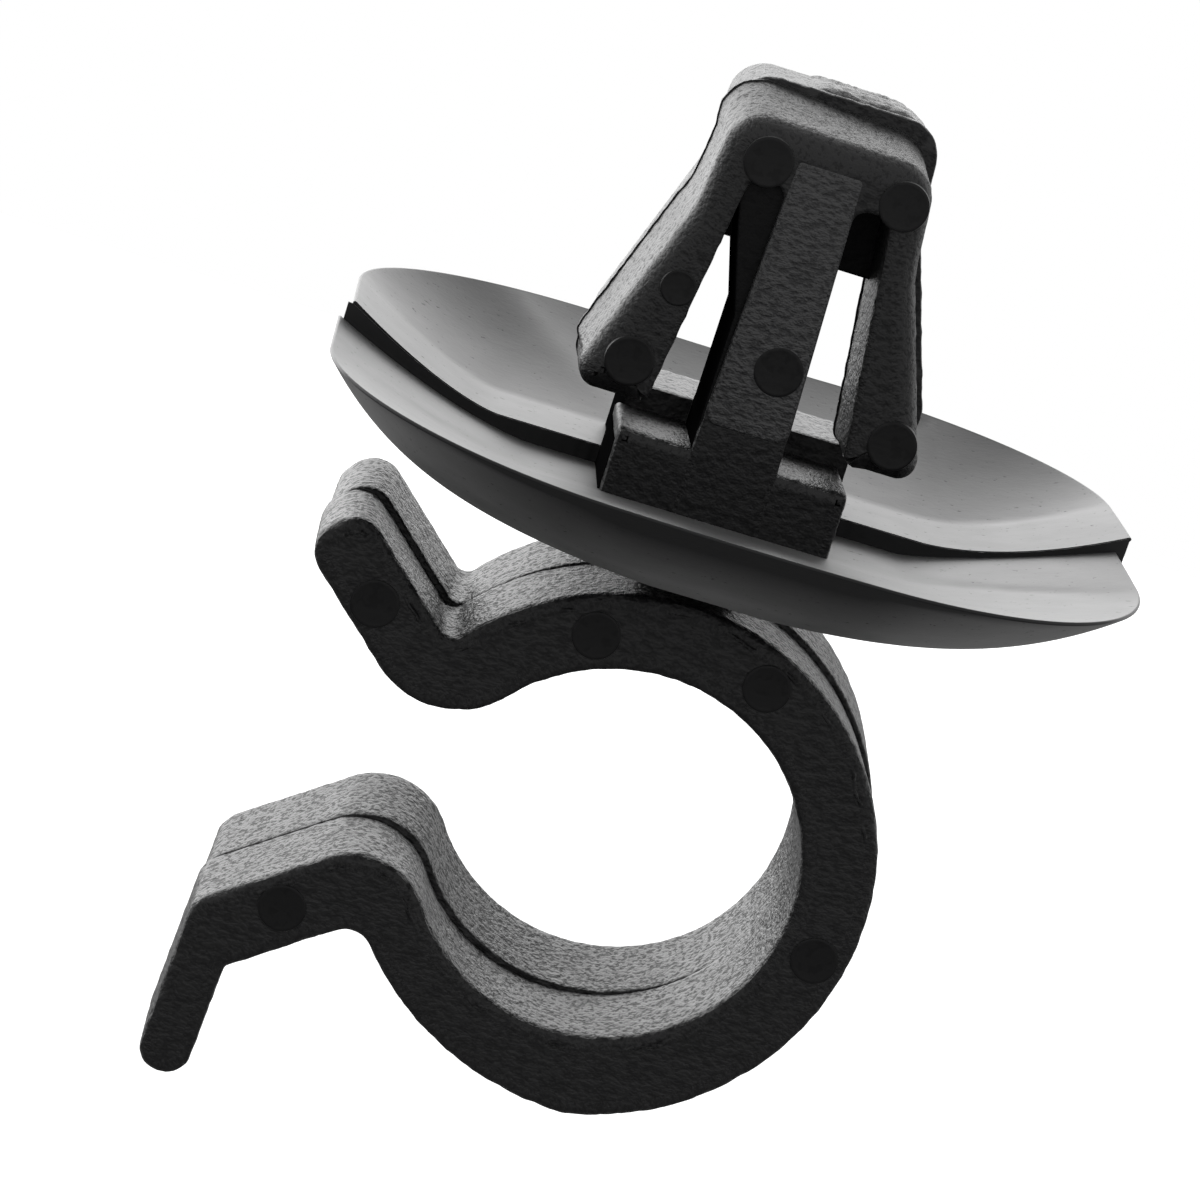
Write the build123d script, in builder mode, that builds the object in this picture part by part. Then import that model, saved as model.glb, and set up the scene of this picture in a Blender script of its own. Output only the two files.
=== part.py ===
from build123d import *
import os
from math import cos, radians, sin, sqrt

# A bonnet stay clip, moulded in one piece of black nylon: a C-shaped spring ring that holds the stay rod, a dished
# skirt that presses on the panel, and an arrowhead anchor with two spring wings that snaps into the panel's hole.
# Frame: +Z runs up the anchor's stem, Y runs along the ring's bore, and the ring's mouth opens towards -X.
# The origin is the centre of the bore, on the plane where the two halves of the mould meet (Y = 0).
# Millimetres and degrees.

# Spring ring: distances from the bore's centre to its outside, where the wall is thinnest at the mouth's lower side
bore_radius = 4.0
ring_width = 5.14
ring_top = 5.48
ring_right = 5.41
ring_bottom = 5.55
ring_bottom_x = 0.5
ring_valley = 5.22

# Upper arm of the ring: a straight bar that leaves the ring up and to the left
upper_arm_direction = 137.5
upper_arm_inner_offset = 1.92
upper_arm_thickness = 1.35
upper_arm_reach = 8.75
upper_nose_radius = 1.8
upper_valley_radius = 0.35
upper_tip_radius = 0.6

# Lower arm of the ring: a straight bar that leaves the ring down and to the left, then turns down as a lead-in leg
lower_arm_direction = 215.8
lower_arm_inner_offset = 1.76
lower_arm_thickness = 1.46
lower_nose_radius = 1.5
lower_valley_radius = 0.6
elbow_reach = 8.42
elbow_radius = 0.55
knee_radius = 0.3
leg_direction = 266.5
leg_length = 3.75
leg_thickness = 1.03
leg_tip_radius = 0.48

# Base block under the anchor
block_top = 8.62
block_half_width = 2.42
block_corner_radius = 0.3
block_edge_chamfer = 0.12
block_root = 0.5

# Dished skirt
skirt_length = 16.9
skirt_width = 17.3
skirt_corner_radius = 5.8
skirt_rim_height = 8.52
skirt_lip = 0.3
skirt_floor_height = 7.25
skirt_floor_length = 7.6
skirt_floor_width = 5.9
skirt_floor_corner_radius = 2.2
skirt_bend_height = 7.5
skirt_bend_size = 10.4
skirt_bend_corner_radius = 4.4
skirt_shoulder_height = 6.95
skirt_shoulder_size = 13.0
skirt_shoulder_corner_radius = 5.2
skirt_foot_height = 6.0
skirt_foot_length = 7.0
skirt_foot_width = 4.0
skirt_foot_corner_radius = 1.4

# Neck between the ring and the skirt, set back from the ring's front and back faces
neck_length = 3.8
neck_width = 3.2
neck_corner_radius = 1.0
neck_bottom = 5.0
neck_top = 6.2

# Anchor: stem, head and two wings, with a pocket between the stem and each wing that a thin web closes near the head
anchor_root = 0.6
head_top = 15.4
head_top_half_width = 2.08
head_half_width = 2.3
head_corner_radius = 0.8
shoulder_height = 13.3
shoulder_radius = 2.5
stem_half_width_top = 0.64
stem_half_width_bottom = 0.88
wing_tip_height = 9.15
wing_tip_rise = 0.6
wing_tip_half_width = 3.54
wing_tip_inner = 2.05
wing_tip_radius = 0.4
wing_tip_chamfer = 0.3
pocket_top = 14.1
pocket_outer_top = 1.42
pocket_corner_radius = 0.28
web_thickness = 1.2
web_height = 1.5
web_wing_gap = 0.35
web_gusset_width = 0.5
web_gusset_height = 1.6
anchor_rim_radius = 0.34

# Stub of the torn moulding gate, on top of the head's back half: centre X and Y, in millimetres
gate_centre = (0.25, 0.5)
gate_length = 1.7
gate_width = 0.9
gate_height = 0.13
gate_root = 0.2
gate_corner_radius = 0.4
gate_chamfer = 0.1

# Round marks of the ejector pins, which stand a little proud of the front face: centre X and Z, in millimetres
ejector_radius = 0.5
narrow_ejector_radius = 0.36
ejector_height = 0.05
ejector_root = 0.4
ejectors = [
    (-1.3, 14.5),
    (1.5, 14.45),
    (-2.7, 9.95),
    (0.18, 10.6),
    (2.8, 9.85),
    (-6.07, 3.72),
    (-1.64, 4.4),
    (1.98, 4.35),
    (4.72, -0.89),
    (-6.04, -3.0),
]
narrow_ejectors = [(-2.22, 11.62)]

# The back half of the mould sits a little to the right of the front half and above it, so every face that looks up
# or to the right has a step at Y = 0. It is small on the ring, whose bore has to stay round, and larger above it.
ring_front_shift = (0.0, 0.0)
ring_back_shift = (0.055, 0.05)
skirt_front_shift = (-0.1, 0.0)
skirt_back_shift = (0.15, 0.38)
anchor_front_shift = (-0.08, 0.0)
anchor_back_shift = (0.1, 0.48)

half_width = ring_width / 2


def along(direction, reach, offset):
    """The point reach along a direction from the bore's centre, and offset to the left of it."""
    a = radians(direction)
    return (reach * cos(a) - offset * sin(a), reach * sin(a) + offset * cos(a))


def where_line_meets_circle(direction, offset, radius):
    """Where a line, offset to the left of a direction, leaves a circle around the bore's centre."""
    return along(direction, sqrt(radius**2 - offset**2), offset)


def lines_crossing(start_a, direction_a, start_b, direction_b):
    """Where two straight lines cross."""
    ax, ay = cos(radians(direction_a)), sin(radians(direction_a))
    bx, by = cos(radians(direction_b)), sin(radians(direction_b))
    dx, dy = start_b[0] - start_a[0], start_b[1] - start_a[1]
    reach = (dx * by - dy * bx) / (ax * by - ay * bx)
    return (start_a[0] + reach * ax, start_a[1] + reach * ay)


def skirt_outline(length, width, corner, height):
    """A level rectangle with round corners, at a height."""
    with BuildSketch(Plane.XY.offset(height)) as outline:
        RectangleRounded(length, width, corner)
    return outline.sketch


# The ring with both arms is one outline, where an arm's inner line faces the mouth and its outer line faces away
up_inner = upper_arm_inner_offset
up_outer = upper_arm_inner_offset - upper_arm_thickness
up_nose = where_line_meets_circle(upper_arm_direction, up_inner, bore_radius)
up_valley = where_line_meets_circle(upper_arm_direction, up_outer, ring_top)
up_tip_inner = along(upper_arm_direction, upper_arm_reach, up_inner)
up_tip_outer = along(upper_arm_direction, upper_arm_reach, up_outer)
down_inner = -lower_arm_inner_offset
down_outer = -lower_arm_inner_offset + lower_arm_thickness
down_nose = where_line_meets_circle(lower_arm_direction, down_inner, bore_radius)
down_valley = where_line_meets_circle(lower_arm_direction, down_outer, ring_valley)
elbow = along(lower_arm_direction, elbow_reach, down_inner)
leg = radians(leg_direction)
leg_tip_outer = (elbow[0] + leg_length * cos(leg), elbow[1] + leg_length * sin(leg))
leg_tip_inner = (leg_tip_outer[0] - leg_thickness * sin(leg), leg_tip_outer[1] + leg_thickness * cos(leg))
knee = lines_crossing(leg_tip_inner, leg_direction, down_valley, lower_arm_direction)
ring_corners = [
    (up_nose, upper_nose_radius),
    (up_valley, upper_valley_radius),
    (up_tip_inner, upper_tip_radius),
    (up_tip_outer, upper_tip_radius),
    (down_nose, lower_nose_radius),
    (down_valley, lower_valley_radius),
    (elbow, elbow_radius),
    (knee, knee_radius),
    (leg_tip_inner, leg_tip_radius),
    (leg_tip_outer, leg_tip_radius),
]

with BuildPart() as ring:
    with BuildSketch(Plane.XZ) as ring_outline:
        with BuildLine():
            Line(up_nose, up_tip_inner)
            Line(up_tip_inner, up_tip_outer)
            Line(up_tip_outer, up_valley)
            ThreePointArc(up_valley, (0, ring_top), (ring_right, 0))
            TangentArc((ring_right, 0), (ring_bottom_x, -ring_bottom), tangent=(0, -1))
            TangentArc((ring_bottom_x, -ring_bottom), down_valley, tangent=(-1, 0))
            Line(down_valley, knee)
            Line(knee, leg_tip_inner)
            Line(leg_tip_inner, leg_tip_outer)
            Line(leg_tip_outer, elbow)
            Line(elbow, down_nose)
            ThreePointArc(down_nose, (bore_radius, 0), up_nose)
        make_face()
        for corner, radius in ring_corners:
            fillet(vertices().sort_by_distance((*corner, 0))[0], radius)
    extrude(amount=half_width, both=True)

# The skirt is a dish: thick where it grows out of the ring, and thin at its rim
with BuildPart() as skirt:
    loft([
        skirt_outline(skirt_foot_length, skirt_foot_width, skirt_foot_corner_radius, skirt_foot_height),
        skirt_outline(skirt_shoulder_size, skirt_shoulder_size, skirt_shoulder_corner_radius, skirt_shoulder_height),
        skirt_outline(skirt_length, skirt_width, skirt_corner_radius, skirt_rim_height),
    ])
    mouth_length = skirt_length - 2 * skirt_lip
    mouth_width = skirt_width - 2 * skirt_lip
    loft([
        skirt_outline(skirt_floor_length, skirt_floor_width, skirt_floor_corner_radius, skirt_floor_height),
        skirt_outline(skirt_bend_size, skirt_bend_size, skirt_bend_corner_radius, skirt_bend_height),
        skirt_outline(mouth_length, mouth_width, skirt_corner_radius - skirt_lip, skirt_rim_height),
    ], mode=Mode.SUBTRACT)

with BuildPart() as neck:
    with BuildSketch(Plane.XY.offset(neck_bottom)):
        RectangleRounded(neck_length, neck_width, neck_corner_radius)
    extrude(amount=neck_top - neck_bottom)

# Base block, from inside the skirt up to the anchor
block_bottom = skirt_floor_height - block_root
with BuildPart() as block:
    with BuildSketch(Plane.XY.offset(block_bottom)):
        RectangleRounded(2 * block_half_width, ring_width, block_corner_radius)
    extrude(amount=block_top - block_bottom)
    chamfer(faces().sort_by(Axis.Z)[-1].edges(), block_edge_chamfer)


def is_outer_rim(edge):
    """Whether an edge runs round the outside of the anchor's front or back face, and not round its pockets."""
    middle = edge.center()
    in_pocket = abs(middle.X) < wing_tip_inner and middle.Z < pocket_top + pocket_corner_radius
    return not in_pocket and middle.Z > wing_tip_height + 0.01


# Anchor, whose stem reaches down into the block
with BuildPart() as anchor:
    with BuildSketch(Plane.XZ):
        with BuildLine():
            right_side = Polyline(
                (0, head_top),
                (head_top_half_width, head_top),
                (head_half_width, shoulder_height),
                (wing_tip_half_width, wing_tip_height + wing_tip_rise),
                (wing_tip_half_width, wing_tip_height),
                (wing_tip_inner, wing_tip_height),
                (pocket_outer_top, pocket_top),
                (stem_half_width_top, pocket_top),
                (stem_half_width_bottom, block_top - anchor_root),
                (0, block_top - anchor_root),
            )
            mirror(right_side, about=Plane.YZ)
        make_face()
        rounded = [
            ((head_top_half_width, head_top), head_corner_radius),
            ((head_half_width, shoulder_height), shoulder_radius),
            ((wing_tip_half_width, wing_tip_height + wing_tip_rise), wing_tip_radius),
            ((wing_tip_half_width, wing_tip_height), wing_tip_radius),
            ((pocket_outer_top, pocket_top), pocket_corner_radius),
            ((stem_half_width_top, pocket_top), pocket_corner_radius),
        ]
        for (x, z), radius in rounded:
            for side in (-1, 1):
                fillet(vertices().sort_by_distance((side * x, z, 0))[0], radius)
        for side in (-1, 1):
            chamfer(vertices().sort_by_distance((side * wing_tip_inner, wing_tip_height, 0))[0], wing_tip_chamfer)
    extrude(amount=half_width, both=True)
    outer_rims = [e for e in faces().filter_by(Axis.Y).edges() if is_outer_rim(e)]
    fillet(outer_rims, anchor_rim_radius)

# The webs, each with a gusset against the stem
with BuildPart() as webs:
    web_bottom = pocket_top - web_height
    with BuildSketch(Plane.XZ):
        with BuildLine():
            web_side = Polyline(
                (0, pocket_top + web_wing_gap),
                (pocket_outer_top + web_wing_gap, pocket_top + web_wing_gap),
                (pocket_outer_top + web_wing_gap, web_bottom),
                (stem_half_width_top + web_gusset_width, web_bottom),
                (stem_half_width_top, web_bottom - web_gusset_height),
                (0, web_bottom - web_gusset_height),
            )
            mirror(web_side, about=Plane.YZ)
        make_face()
    extrude(amount=web_thickness / 2, both=True)


def mould_halves(whole, front_shift, back_shift):
    """The halves of a body that the two halves of the mould make, each moved by its shift in X and Z."""
    front = split(whole, bisect_by=Plane.XZ, keep=Keep.TOP)
    back = split(whole, bisect_by=Plane.XZ, keep=Keep.BOTTOM)
    return Pos(front_shift[0], 0, front_shift[1]) * front + Pos(back_shift[0], 0, back_shift[1]) * back


moulded_skirt = mould_halves(skirt.part + neck.part, skirt_front_shift, skirt_back_shift)
moulded_anchor = mould_halves(block.part + anchor.part + webs.part, anchor_front_shift, anchor_back_shift)
moulded_ring = mould_halves(ring.part, ring_front_shift, ring_back_shift)

with BuildPart() as bonnet_clip:
    add(moulded_skirt)
    add(moulded_anchor)
    add(moulded_ring)
    with BuildSketch(Plane.XZ.offset(half_width + ejector_height)):
        with Locations(*ejectors):
            Circle(ejector_radius)
        with Locations(*narrow_ejectors):
            Circle(narrow_ejector_radius)
    extrude(amount=-ejector_height - ejector_root)
    with BuildSketch(Plane.XY.offset(head_top + anchor_back_shift[1] + gate_height)):
        with Locations(gate_centre):
            RectangleRounded(gate_length, gate_width, gate_corner_radius)
    extrude(amount=-gate_height - gate_root)
    chamfer(faces().sort_by(Axis.Z)[-1].edges(), gate_chamfer)

bonnet_clip.part.label = "bonnet_clip"
os.makedirs("parts", exist_ok=True)
export_step(bonnet_clip.part, "parts/bonnet_clip.step")
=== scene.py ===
import cmath
import math
from typing import NamedTuple

import bmesh
import bpy
from mathutils import Matrix, Vector, noise
from mathutils.geometry import delaunay_2d_cdt


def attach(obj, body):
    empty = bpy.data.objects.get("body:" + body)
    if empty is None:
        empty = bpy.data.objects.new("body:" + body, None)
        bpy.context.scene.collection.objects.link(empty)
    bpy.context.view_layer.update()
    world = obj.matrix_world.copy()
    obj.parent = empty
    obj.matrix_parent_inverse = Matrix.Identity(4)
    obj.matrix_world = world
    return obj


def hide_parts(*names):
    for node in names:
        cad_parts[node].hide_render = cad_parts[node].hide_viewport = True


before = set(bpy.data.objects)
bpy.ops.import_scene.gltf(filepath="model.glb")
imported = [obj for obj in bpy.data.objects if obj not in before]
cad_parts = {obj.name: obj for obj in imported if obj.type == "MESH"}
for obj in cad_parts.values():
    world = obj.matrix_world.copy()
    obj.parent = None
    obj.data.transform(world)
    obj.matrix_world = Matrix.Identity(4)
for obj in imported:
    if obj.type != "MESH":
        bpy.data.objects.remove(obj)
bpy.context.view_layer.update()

# A bonnet stay clip, moulded in one piece of black nylon. It is built here with soft edges, the step between
# the halves of its mould, burrs and grain.
# Sizes are in millimetres and degrees, in the frame of the CAD part, whose outlines they follow.
# A point of an outline is a complex number: its real part runs along X and its imaginary part along Z.

# A millimetre in metres
MM = 0.001

# The halves of the mould, by the side of the seam's plane, Y = 0, that they lie on
FRONT = -1
BACK = 1

# Spacing of the points along an outline, and the widest angle between two points of an arc
OUTLINE_STEP = 0.09
ARC_STEP = math.radians(9)

# Ring and arms
BORE_RADIUS = 4.0
HALF_WIDTH = 2.57
RING_TOP = 5.48
RING_RIGHT = 5.46
RING_BOTTOM = 5.61
RING_BOTTOM_X = 0.85
RING_VALLEY = 5.22
UPPER_ARM_WAY = 137.5
UPPER_ARM_INNER = 1.92
UPPER_ARM_THICKNESS = 1.35
UPPER_ARM_REACH = 8.75
UPPER_NOSE_RADIUS = 1.8
UPPER_VALLEY_RADIUS = 0.35
UPPER_TIP_RADIUS = 0.6
LOWER_ARM_WAY = 215.8
LOWER_ARM_INNER = 1.76
LOWER_ARM_THICKNESS = 1.46
LOWER_NOSE_RADIUS = 1.5
LOWER_VALLEY_RADIUS = 0.6
ELBOW_REACH = 8.31
ELBOW_RADIUS = 0.55
KNEE_RADIUS = 0.3
LEG_WAY = 266.5
LEG_LENGTH = 3.7
LEG_THICKNESS = 0.98
LEG_TIP_RADIUS = 0.48

# The ring's surface: how far its outline grows to make up for its rounded edges, the least radius of those
# edges, how uneven its walls are, and how many rows of faces a wall has from its edge to the seam
RING_GROWTH = 0.065
RING_EDGE_RADIUS = 0.05
RING_ROUGHNESS = 0.014
RING_WALL_ROWS = 16

# The ring's halves meet with a larger step than the CAD's, whose bore is kept round for its mount. The back
# half is shifted, leans, and spreads towards the back where it faces up and right below a height.
RING_BACK_SHIFT = complex(0.09, 0.08)
RING_BACK_LEAN = complex(0.035, 0.03)
RING_BACK_SPREAD = 0.14
RING_BACK_SPREAD_TOP = 0.5

# The burr on the ring's front edges: its height, and the rows that the face has there, each with how far in
# from the rounded edge it lies and whether the burr raises it
BURR_HEIGHT = 0.1
RING_FACE_ROWS = ((0.05, False), (0.08, True), (0.11, True), (0.14, False), (0.17, False))

# Skirt
SKIRT_LENGTH = 16.8
SKIRT_WIDTH = 17.3
SKIRT_CORNER_RADIUS = 5.8
SKIRT_RIM_HEIGHT = 8.52
SKIRT_SADDLE = 0.13
SKIRT_LIP = 0.08
SKIRT_LIP_DROP = 0.03
SKIRT_FLOOR_HEIGHT = 7.25
SKIRT_SHIFT = {FRONT: complex(-0.02, 0.0), BACK: complex(0.19, 0.38)}
# How each half's inside rises to its left and right ends: from how far out, how much, and with which power
SKIRT_RISE = {
    FRONT: ((3.9, 0.155, 1.5), (4.0, 0.24, 1.25)),
    BACK: ((4.9, 0.232, 1.45), (4.2, 0.12, 1.69)),
}
# How the flaps rise beyond the crease, which spreads towards the ends
SKIRT_CREASE = 2.4
SKIRT_CREASE_SPREAD = 0.2
SKIRT_CREASE_SPREAD_FROM = 5.0
SKIRT_FLAP_SLOPE = 0.15
SKIRT_FLAP_CURVE = 0.018
# The outside: where it starts below the rim, and its shoulder, foot and neck
SKIRT_RIM_INSET = 0.03
SKIRT_RIM_DROP = 0.1
SKIRT_SHOULDER_HEIGHT = 6.85
SKIRT_SHOULDER_SIZE = 13.0
SKIRT_SHOULDER_RADIUS = 5.2
SKIRT_FOOT_HEIGHT = 6.0
SKIRT_FOOT_LENGTH = 7.0
SKIRT_FOOT_WIDTH = 4.0
SKIRT_FOOT_RADIUS = 1.4
NECK_LENGTH = 2.2
NECK_WIDTH = 2.4
NECK_RADIUS = 0.6
NECK_BOTTOM = 5.0
NECK_HEIGHTS = (SKIRT_FOOT_HEIGHT, NECK_BOTTOM)
# How many faces the skirt has along its length, across its middle strip and each flap, round its lip and down
# its outside
SKIRT_COLUMNS = 130
SKIRT_STRIP_ROWS = 14
SKIRT_FLAP_ROWS = 46
SKIRT_LIP_STEPS = 6
SKIRT_WALL_STEPS = 26

# Block
BLOCK_BOTTOM = 6.75
BLOCK_TOP = 8.62
BLOCK_HALF_WIDTH = 2.55
BLOCK_HALF_LENGTH = 2.42
BLOCK_CORNER_RADIUS = 0.12
BLOCK_RIM_RADIUS = 0.22
BLOCK_WALL_ROWS = 10
# A thin dark sheet on the block's left side paints shade there
SIDE_SHADE_PLATE_HALF_WIDTH = 2.3
SIDE_SHADE_PLATE_DROP = 0.3
SIDE_SHADE_PLATE_DEPTH = 0.05
SIDE_SHADE_PLATE_PROUD = 0.015
SIDE_SHADE_PLATE_RIM_RADIUS = 0.005

# Anchor: its head, wings, stem and the pockets between them
HEAD_TOP = 15.4
HEAD_TOP_HALF = 2.08
HEAD_HALF = 2.3
HEAD_CORNER_RADIUS = 0.8
SHOULDER_HEIGHT = 13.3
SHOULDER_RADIUS = 2.5
STEM_HALF_TOP = 0.72
STEM_HALF_BOTTOM = 0.98
STEM_BACK_SETBACK = 0.45
WING_TIP_HEIGHT = 9.15
WING_TIP_RISE = 0.6
WING_TIP_HALF = 3.54
WING_TIP_INNER = 2.05
WING_TIP_RADIUS = 0.4
WING_TIP_INNER_RADIUS = 0.3
POCKET_TOP = 14.1
POCKET_OUTER_TOP = 1.42
POCKET_RADIUS = 0.28
POCKET_BACK_WIDENING = 0.3

# The anchor's surface: where its halves lie, its edges, how uneven its walls are, and the flash at its seam
ANCHOR_SHIFT = {FRONT: complex(-0.08, 0.0), BACK: complex(0.07, 0.48)}
ANCHOR_RIM_RADIUS = {FRONT: 0.5, BACK: 0.34}
POCKET_RIM_RADIUS = 0.12
ANCHOR_ROUGHNESS = 0.02
ANCHOR_WALL_ROWS = 12
ANCHOR_FRONT_SEAM_ROUND = 0.04
ANCHOR_FLASH = 0.035

# Webs that close the tops of the pockets, and the rib along the stem's left side, a dark sheet that paints
# the shade that side lies in
WEB_HALF_THICKNESS = 0.6
WEB_HEIGHT = 1.5
WEB_WING_GAP = 0.35
WEB_RIM_RADIUS = 0.05
SHADE_RIB_HALF_THICKNESS = 2.4
SHADE_RIB_WALL_ROWS = 4
SHADE_RIB_EDGE_TOP = complex(-1.26, 12.6)
SHADE_RIB_EDGE_BEND = complex(-0.91, 11.4)
SHADE_RIB_EDGE_BOTTOM = complex(-0.91, 8.0)

# The textured face that stands a little proud of the stem's front
STEM_FACE_HALF_WIDTH = 2.585
STEM_FACE_TOP = 14.7
STEM_FACE_BOTTOM = 9.2
STEM_FACE_INSET = 0.05
STEM_FACE_TOP_RADIUS = 0.1
STEM_FACE_BOTTOM_RADIUS = 0.3
STEM_FACE_RIM_RADIUS = 0.05
STEM_FACE_WALL_ROWS = 2

# Marks of the ejector pins on the front faces: centre X and Z, and radius
EJECTOR_HEIGHT = 0.03
EJECTORS = [
    (complex(-1.3, 14.5), 0.5),
    (complex(1.5, 14.45), 0.5),
    (complex(-2.22, 11.62), 0.36),
    (complex(-2.7, 9.95), 0.5),
    (complex(0.18, 10.6), 0.5),
    (complex(2.8, 9.85), 0.5),
    (complex(-6.07, 3.72), 0.5),
    (complex(-1.64, 4.4), 0.5),
    (complex(1.98, 4.35), 0.5),
    (complex(4.72, -0.89), 0.5),
    (complex(-6.04, -3.0), 0.5),
]

# Building of the slabs: the faces round a rim, how far in the flat face starts, the rounding at the seam of
# most halves and of the back halves of ring and anchor, and the share of it that its middle point takes
RIM_STEPS = 4
FACE_INSET = 0.03
SEAM_ROUND = 0.03
BACK_SEAM_ROUND = 0.05
SEAM_ROUND_MIDDLE = 0.3
# Only rows with a smaller inset than this belong to an uneven wall, and this many of its bumps fit in a
# millimetre
ROUGH_INSET = 0.02
ROUGH_SCALE = 5
# The least divisor of a mitre, which keeps sharp corners from moving too far
MITRE_LIMIT = 0.4
# The angle, in degrees, from which an edge is sharp
SHARP_ANGLE = 32
SKIRT_SHARP_ANGLE = 40

# The grain is drawn in millimetres, round an outline and across its wall. On the flat caps X counts for less,
# which draws the grain out along X. Its third coordinate sets the faces and the seam apart from the walls.
CAP_GRAIN_SQUEEZE = 0.5
FACE_LAYER = 2
SEAM_LAYER = 3

# Camera, fitted to the photograph: its place, and the directions to its right and behind it
CAMERA_PLACE = Vector((-8.98, -76.06, 23.37))
CAMERA_RIGHT = Vector((0.95364, -0.01874, 0.30036))
CAMERA_BACK = Vector((-0.09452, -0.96621, 0.23982))
LENS_MM = 114.0
SENSOR_MM = 36.0

# The set, in metres and watts
CAMERA_CLIP_START = 0.005
FLOOR_SIZE = 0.5
FLOOR_HEIGHT = -0.04
FLOOR_TONE_TO_CAMERA = 0.95
FLOOR_TONE_TO_OTHER_RAYS = 0.22
FLOOR_ROUGHNESS = 0.9
STUDIO_LEVEL = 1.0
BACKGROUND_LEVEL = 1.0
SOFTBOX_PLACE = Vector((-0.16, 0.26, 0.085))
SOFTBOX_TARGET = Vector((0, 0, 0.003))
SOFTBOX_SIZE = (0.7, 0.3)
SOFTBOX_POWER = 1.6


def clamp(value):
    return max(0.0, min(1.0, value))


def outline_noise(point, scale, layer):
    """Smooth noise over the plane of the outlines, from about -1 to 1. Each layer is a pattern of its own."""
    return noise.noise(Vector((point.real * scale, layer, point.imag * scale)))


def level_noise(x, y, scale, layer):
    """Smooth noise over a level plane, from about -1 to 1. Each layer is a pattern of its own."""
    return noise.noise(Vector((x * scale, y * scale, layer)))


# Outlines


class Straight:
    """A straight run of an outline."""

    def __init__(self, start, end):
        self.start, self.end = start, end
        self.way = (end - start) / abs(end - start)

    def heading(self, point):
        return self.way

    def left_distance(self, point):
        return ((point - self.start) * self.way.conjugate()).imag

    def left_normal(self, point):
        return 1j * self.way

    def nearest(self, point):
        return self.start + self.way * ((point - self.start) * self.way.conjugate()).real

    def points(self, start, end):
        count = max(1, math.ceil(abs(end - start) / OUTLINE_STEP))
        return [start + (end - start) * k / count for k in range(count)]


class Arc:
    """A round run of an outline, which turns left (1) or right (-1) about its centre."""

    def __init__(self, start, end, centre, turn):
        self.start, self.end, self.centre, self.turn = start, end, centre, turn
        self.radius = abs(start - centre)

    def heading(self, point):
        return self.turn * 1j * (point - self.centre) / abs(point - self.centre)

    def left_distance(self, point):
        return self.turn * (self.radius - abs(point - self.centre))

    def left_normal(self, point):
        return -self.turn * (point - self.centre) / abs(point - self.centre)

    def nearest(self, point):
        return self.centre + self.radius * (point - self.centre) / abs(point - self.centre)

    def points(self, start, end):
        sweep = cmath.phase((end - self.centre) / (start - self.centre))
        if sweep * self.turn < 0:
            sweep += self.turn * 2 * math.pi
        count = max(2, math.ceil(max(abs(sweep) * self.radius / OUTLINE_STEP, abs(sweep) / ARC_STEP)))
        return [self.centre + (start - self.centre) * cmath.exp(1j * sweep * k / count) for k in range(count)]


def round_corner(before, after, radius):
    """The fillet between two runs: where it leaves the first, where it meets the second, and its arc."""
    corner = before.end
    if not radius:
        return corner, corner, None
    turn = 1 if (before.heading(corner).conjugate() * after.heading(corner)).imag > 0 else -1
    centre = corner
    approaches = 25
    for _ in range(approaches):
        a, b = before.left_normal(centre), after.left_normal(centre)
        miss_a = turn * radius - before.left_distance(centre)
        miss_b = turn * radius - after.left_distance(centre)
        scale = a.real * b.imag - a.imag * b.real
        centre += complex(miss_a * b.imag - miss_b * a.imag, miss_b * a.real - miss_a * b.real) / scale
    leaves, meets = before.nearest(centre), after.nearest(centre)
    return leaves, meets, Arc(leaves, meets, centre, turn)


def trace(runs):
    """The points of a closed outline, given as its runs with the radius of the corner after each."""
    following = runs[1:] + runs[:1]
    corners = [round_corner(run, after, radius) for (run, radius), (after, _) in zip(runs, following)]
    points = []
    for k, (run, _) in enumerate(runs):
        leaves, meets, arc = corners[k]
        points += run.points(corners[k - 1][1], leaves)
        points += arc.points(leaves, meets) if arc else []
    return points


def trace_polygon(corners):
    """The points of a polygon, given as its corners with the radius of each."""
    pairs = zip(corners, corners[1:] + corners[:1])
    return trace([(Straight(corner, after), radius) for (corner, _), (after, radius) in pairs])


def trace_sharp(corners):
    """The points of a polygon with sharp corners."""
    return trace_polygon([(corner, 0) for corner in corners])


def trace_rectangle(left, right, bottom, top):
    corners = [(right, top), (right, bottom), (left, bottom), (left, top)]
    return trace_sharp([complex(x, z) for x, z in corners])


def trace_symmetric(right_side):
    """The points of a polygon that is the same on both sides of X = 0, from its right corners, top down."""
    left_side = [(complex(-corner.real, corner.imag), radius) for corner, radius in reversed(right_side)]
    return trace_polygon(right_side + left_side)


def along(direction, reach, offset):
    """The point reach along a direction from the bore's centre, and offset to the left of it."""
    return complex(reach, offset) * cmath.exp(1j * math.radians(direction))


def where_line_meets_circle(direction, offset, radius):
    return along(direction, math.sqrt(radius**2 - offset**2), offset)


def circle_centre(a, b, c):
    """The centre of the circle through three points."""
    w = (c - a) / (b - a)
    return a + (b - a) * (w - abs(w) ** 2) / (2j * w.imag)


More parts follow.
